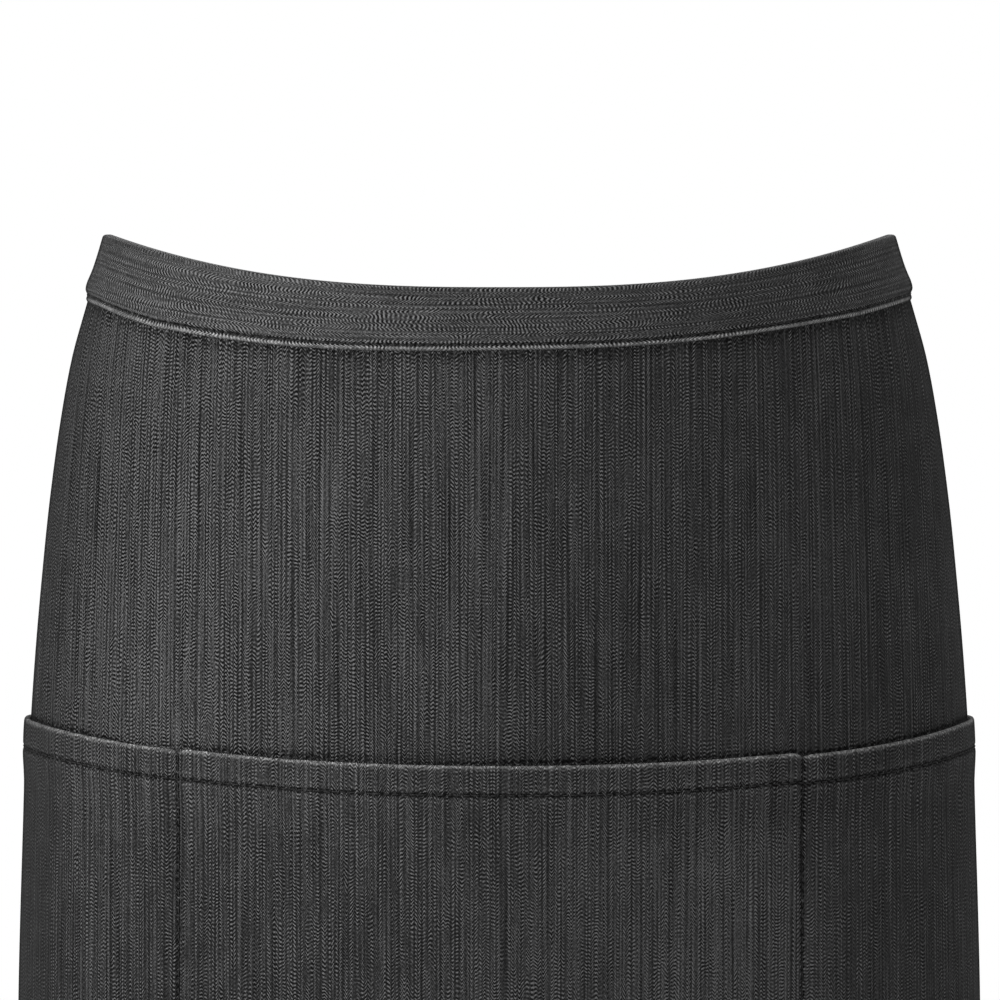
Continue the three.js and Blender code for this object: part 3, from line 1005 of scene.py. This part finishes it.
def strap_wear_and_shade(place, width):
    """Pale worn folded edges, and painted shade in a dark line at each row of sewing."""
    to_fold = (0.5 - np.abs(place)) * width
    return 0.75 * bump(to_fold, 0, 0.7) - 0.8 * bump(to_fold, tie_stitch_in, 0.5)


def strap_point(across, down, level):
    """A point of a strap, which lies straight where the skirt's cloth would fold."""
    return form_point(angle_at(across, down), down, level)


for side, name in ((-1, "left"), (1, "right")):
    share = tie_share[None, :]
    place = tie_across_strap[:, None]
    growth = smooth_step(0.25, 1, share)
    width = tie_width * (1 + (gathered_width - 1) * growth)
    cloth = tie_cloth * (1 + (gathered_cloth - 1) * growth)
    down = knot_down + place * width
    end = knot_face(down) + in_knot
    across = apron_half + tie_clearance + (end - apron_half - tie_clearance) * share
    middle = tie_middle + knot_stand_off * smooth_step(0.5, 1, share)
    folds = strap_fold * gathers(place, growth, 3 + side)
    half_cloth = (cloth / 2 - strap_dent(place, width)) * strap_edge(place)
    order = slice(None, None, side)
    outer = strap_point(side * across, down, middle + folds + half_cloth)
    inner = strap_point(side * across, down, middle + folds - half_cloth)
    strap_map = cloth_place(place * tie_width + 700, side * across + 11)
    tie = cloth_piece(
        "tie_strap_" + name,
        outer[:, order],
        inner[:, order],
        strap_map[:, order],
        strap_map[:, order] + reverse_shift,
        [tie_denim],
        (strap_wear_and_shade(place, width), strap_wear_and_shade(place, width)),
    )
    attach(tie, "root")
    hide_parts("tie_" + name)
    rows = []
    for edge in (-1, 1):
        row_place = edge * (0.5 - tie_stitch_in / width)
        row_down = knot_down + row_place * width
        row_fold = strap_fold * gathers(row_place, growth, 3 + side)
        row_across = row_start + (knot_face(row_down) - row_start) * share
        row_level = middle + row_fold + cloth / 2 - thread_sunk
        line = strap_point(side * row_across, row_down, row_level)[0]
        above = strap_point(side * row_across, row_down, row_level + 1)[0]
        rows.append((line, above - line))
    sewn_rows("tie_stitches_" + name, rows)

# The knot
#
# The two straps cross and are pulled tight at the middle of the back. One strap wraps over the
# other, whose folds swell out at both sides of it.

knot_middle = form_point(math.pi, knot_down, tie_middle + knot_stand_off) / MM


def closed_piece(name, rings, ring_map, cloth, wear_and_shade, joined=False):
    """A closed piece from rings of points, joined in a loop or closed by a cap at both ends."""
    count, sides = rings.shape[:2]
    grid = np.arange(count * sides).reshape(count, sides)
    if joined:
        grid = np.concatenate([grid, grid[:1]])
    turned = np.roll(grid, -1, axis=1)
    walls = np.stack([grid[:-1], turned[:-1], turned[1:], grid[1:]], -1).reshape(-1, 4)
    caps = [] if joined else [grid[0, ::-1].tolist(), grid[-1].tolist()]
    marks = {"rubbed_and_shaded": wear_and_shade, "faded": 0 * wear_and_shade + 1, "washed": 0 * wear_and_shade}
    return new_piece(name, rings, walls.tolist() + caps, ring_map, [cloth], marks)


lobe_sides = 64
lobe_turn = np.arange(lobe_sides) * math.tau / lobe_sides
for side, name in ((-1, "left"), (1, "right")):
    along = np.linspace(0.02, 1, 34)[:, None]
    swell = np.sin(np.clip(0.18 + 0.82 * along, 0, 1) * math.pi) ** 0.6
    height = knot_size[2] / 2 * (0.44 + 0.5 * swell * (1 - 0.25 * along))
    depth = knot_size[1] / 2 * (0.34 + 0.5 * swell)
    fold = 1 + 0.07 * np.cos(5 * lobe_turn + 2.2 * along * side)
    fold = fold + 0.05 * np.cos(9 * lobe_turn - 3 * along)
    x = side * along * knot_size[0] / 2
    y = knot_middle[1] + depth * fold * power_of(np.cos(lobe_turn), 0.75)
    z = knot_middle[2] + side * 0.8 * (1 - along) + height * fold * power_of(np.sin(lobe_turn), 0.75)
    rings = np.stack(np.broadcast_arrays(x, y, z), -1) * MM
    ring_map = cloth_place(lobe_turn * 9 + 900, along * 16)
    # Paler wear on the crests of the folds, and painted shade in their hollows
    crest_wear_and_hollow_shade = np.clip(0.5 * (fold - 1.05) / 0.07, -0.5, 0.5) + 0 * along
    lobe = closed_piece(
        "knot_fold_" + name, rings[::side], ring_map[::side], tie_denim, crest_wear_and_hollow_shade[::side]
    )
    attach(lobe, "root")
    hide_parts("tie_knot")

# The strap that wraps over the other
wrap_turn = np.linspace(0, math.tau, 73)[:-1][:, None]
wrap_section = np.linspace(0, math.tau, 41)[:-1][None, :]
wrap_half, wrap_cloth = 6.6, 1.3
wrap_depth, wrap_height = knot_size[1:] / 2 - wrap_cloth
wrap_flat = wrap_half * power_of(np.cos(wrap_section), 0.7)
wrap_fold = 0.5 * np.cos(wrap_flat * 1.15 + 1.3 * np.sin(wrap_turn)) + 0.3 * np.cos(wrap_flat * 2.3)
wrap_fold = wrap_fold * (np.abs(wrap_flat) < wrap_half * 0.97)
wrap_out = wrap_cloth * power_of(np.sin(wrap_section), 0.8) + wrap_fold
curve_y, curve_z = power_of(np.cos(wrap_turn), 0.8), power_of(np.sin(wrap_turn), 0.8)
wrap_x = wrap_flat + 1.6 * np.sin(wrap_turn) * np.cos(wrap_turn)
wrap_y = knot_middle[1] + (wrap_depth + wrap_out * 0.85) * curve_y
wrap_z = knot_middle[2] + (wrap_height + wrap_out * 0.85) * curve_z
rings = np.stack(np.broadcast_arrays(wrap_x, wrap_y, wrap_z), -1) * MM
wrap_map = cloth_place(wrap_flat + 950, wrap_turn * 11)
# Pale wear on the edges and fold crests, and painted shade in the fold hollows
wrap_wear_and_shade = 0.7 * bump(np.abs(wrap_flat), wrap_half, 0.5) + 0.4 * np.clip(wrap_fold, -1, 1)
wrap_wear_and_shade = wrap_wear_and_shade + 0 * wrap_turn
wrap = closed_piece("knot_wrap", rings, wrap_map, tie_denim, wrap_wear_and_shade, joined=True)
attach(wrap, "root")
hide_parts("tie_knot")

# The hanging ends
#
# The two free ends of the straps. They leave the knot gathered, open to their full width and hang
# down behind, each turned in at its tip.

end_length = 165.0
end_spread = 20.0
end_opening = 0.22
end_fold = 0.9
end_curl = 1.2
end_lean = 0.7
end_share = np.concatenate([np.linspace(0, 0.985, 110), [0.991, 0.996, 0.999, 1]])


def end_level(place, share, side):
    """How far out a hanging end lies: it curls, leans and opens its folds on the way down."""
    opening = smooth_step(0, end_opening, share)
    curl = end_curl * np.sin(share * 7 + side) * opening * place * 2
    folds = end_fold * gathers(place, 1 - smooth_step(0, 0.5, share), 8 + side)
    lean = end_lean + end_lean * np.sin(share * 9.5 + side) * opening
    return tie_middle + curl + folds + lean


def hanging(x, down, offset):
    """A point of a hanging end, which follows the form without its lift at the sides."""
    angle = math.pi - np.arcsin(x / ring_sizes(down)[0])
    depth = form_point(angle, down, offset)[..., 1]
    return np.stack(np.broadcast_arrays(x * MM, depth, (band_height / 2 - down) * MM), -1)


for side, name in ((-1, "left"), (1, "right")):
    share = end_share[:, None]
    place = -tie_across_strap[None, :] if side < 0 else tie_across_strap[None, ::-1]
    opening = smooth_step(0, end_opening, share)
    width = tie_width * (gathered_width + (1 - gathered_width) * opening)
    top = knot_middle[2] - knot_size[2] / 2 + 1.5
    start = tie_width * gathered_width / 2 + 0.3
    middle_x = side * (start + end_spread * share**0.8)
    z = top - share * (end_length + 1.5)
    down = band_height / 2 - z
    tip = edge_round((1 - share) * end_length, tie_cloth)
    half_cloth = (tie_cloth / 2 - strap_dent(place, width)) * np.minimum(strap_edge(place), tip)
    x = middle_x + place * width
    level = end_level(place, share, side)
    strap_map = cloth_place(place * tie_width + 820 + 40 * side, down)
    wear_and_shade = np.maximum(strap_wear_and_shade(place, width), 0.5 * bump(share, 1, 0.004)) + 0 * down
    tie_end = cloth_piece(
        "tie_hanging_" + name,
        hanging(x, down, level + half_cloth),
        hanging(x, down, level - half_cloth),
        strap_map,
        strap_map + reverse_shift,
        [tie_denim],
        (wear_and_shade, wear_and_shade),
    )
    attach(tie_end, "root")
    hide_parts("tie_end_" + name)
    rows = []
    for edge in (-1, 1):
        row_place = edge * (0.5 - tie_stitch_in / width)
        row_x = middle_x + row_place * width
        row_level = end_level(row_place, share, side) + tie_cloth / 2 - thread_sunk
        line = hanging(row_x, down, row_level)[:-6, 0]
        above = hanging(row_x, down, row_level + 1)[:-6, 0]
        rows.append((line, above - line))
    sewn_rows("tie_end_stitches_" + name, rows)

# The floor, the light and the camera
#
# A plain pale floor below the hem, soft light from near the front left, and a long lens that looks
# slightly down from in front.

target = np.array([0.0003, 0.0, -0.0787])
distance = 4.0
look_down = math.radians(4)
lens = bpy.data.cameras.new("camera")
lens.lens = 360
lens.sensor_width = 36
lens.clip_end = 100
camera = bpy.data.objects.new("camera", lens)
camera.location = target + distance * np.array([0, -math.cos(look_down), math.sin(look_down)])
camera.rotation_euler = (math.pi / 2 - look_down, 0, 0)
bpy.context.scene.collection.objects.link(camera)
bpy.context.scene.camera = camera

floor_mesh = bpy.data.meshes.new("floor")
floor_half, floor_level = 2.2, -0.62
floor_mesh.from_pydata(
    [(x * floor_half, y * floor_half, floor_level) for x, y in ((-1, -1), (1, -1), (1, 1), (-1, 1))],
    [],
    [(0, 1, 2, 3)],
)
floor = bpy.data.objects.new("floor", floor_mesh)
bpy.context.scene.collection.objects.link(floor)
pale = bpy.data.materials.new("pale floor")
pale.use_nodes = True
pale_shader = pale.node_tree.nodes["Principled BSDF"]
pale_shader.inputs["Base Color"].default_value = (0.82, 0.82, 0.82, 1)
pale_shader.inputs["Roughness"].default_value = 0.9
pale_shader.inputs["Emission Color"].default_value = (1, 1, 1, 1)
looked_at = add_node(pale.node_tree, "ShaderNodeLightPath")
glow = times(looked_at.outputs["Is Camera Ray"], 0.5)
pale.node_tree.links.new(glow, pale_shader.inputs["Emission Strength"])
floor_mesh.materials.append(pale)


def soft_light(name, place, aim, size, power):
    """An oblong light, its size across and up in metres, that the camera doesn't see."""
    data = bpy.data.lights.new(name, "AREA")
    data.shape = "RECTANGLE"
    data.size, data.size_y = size
    data.energy = power
    lamp = bpy.data.objects.new(name, data)
    lamp.location = place
    facing = np.array(aim) - np.array(place)
    length = float(np.linalg.norm(facing))
    lamp.rotation_euler = (math.acos(-facing[2] / length), 0, math.atan2(-facing[0], facing[1]))
    lamp.visible_camera = False
    bpy.context.scene.collection.objects.link(lamp)


soft_light("strip light", (-0.3, -0.335, -0.04), (0, 0, -0.1), (0.2, 0.7), 1.43)
soft_light("fill light", (0.9, -1.05, 0.3), (0, 0, -0.15), (0.7, 0.7), 3.2)
soft_light("back light", (0.0, 1.7, 0.6), (0, 0, -0.15), (0.5, 0.9), 26)
soft_light("top light", (0.0, 0.2, 2.2), (0, 0, -0.6), (1.6, 1.6), 14)

world = bpy.data.worlds.new("studio")
world.use_nodes = True
bpy.context.scene.world = world
sky = world.node_tree
sky.nodes.clear()
ambient, white = (add_node(sky, "ShaderNodeBackground") for _ in range(2))
for light, brightness in ((ambient, 0.2), (white, 1.0)):
    light.inputs["Color"].default_value = (1, 1, 1, 1)
    light.inputs["Strength"].default_value = brightness
seen = add_node(sky, "ShaderNodeLightPath")
either = add_node(sky, "ShaderNodeMixShader")
sky.links.new(seen.outputs["Is Camera Ray"], either.inputs[0])
sky.links.new(ambient.outputs[0], either.inputs[1])
sky.links.new(white.outputs[0], either.inputs[2])
sky_out = add_node(sky, "ShaderNodeOutputWorld")
sky.links.new(either.outputs[0], sky_out.inputs["Surface"])
bpy.context.scene.view_settings.view_transform = "Standard"
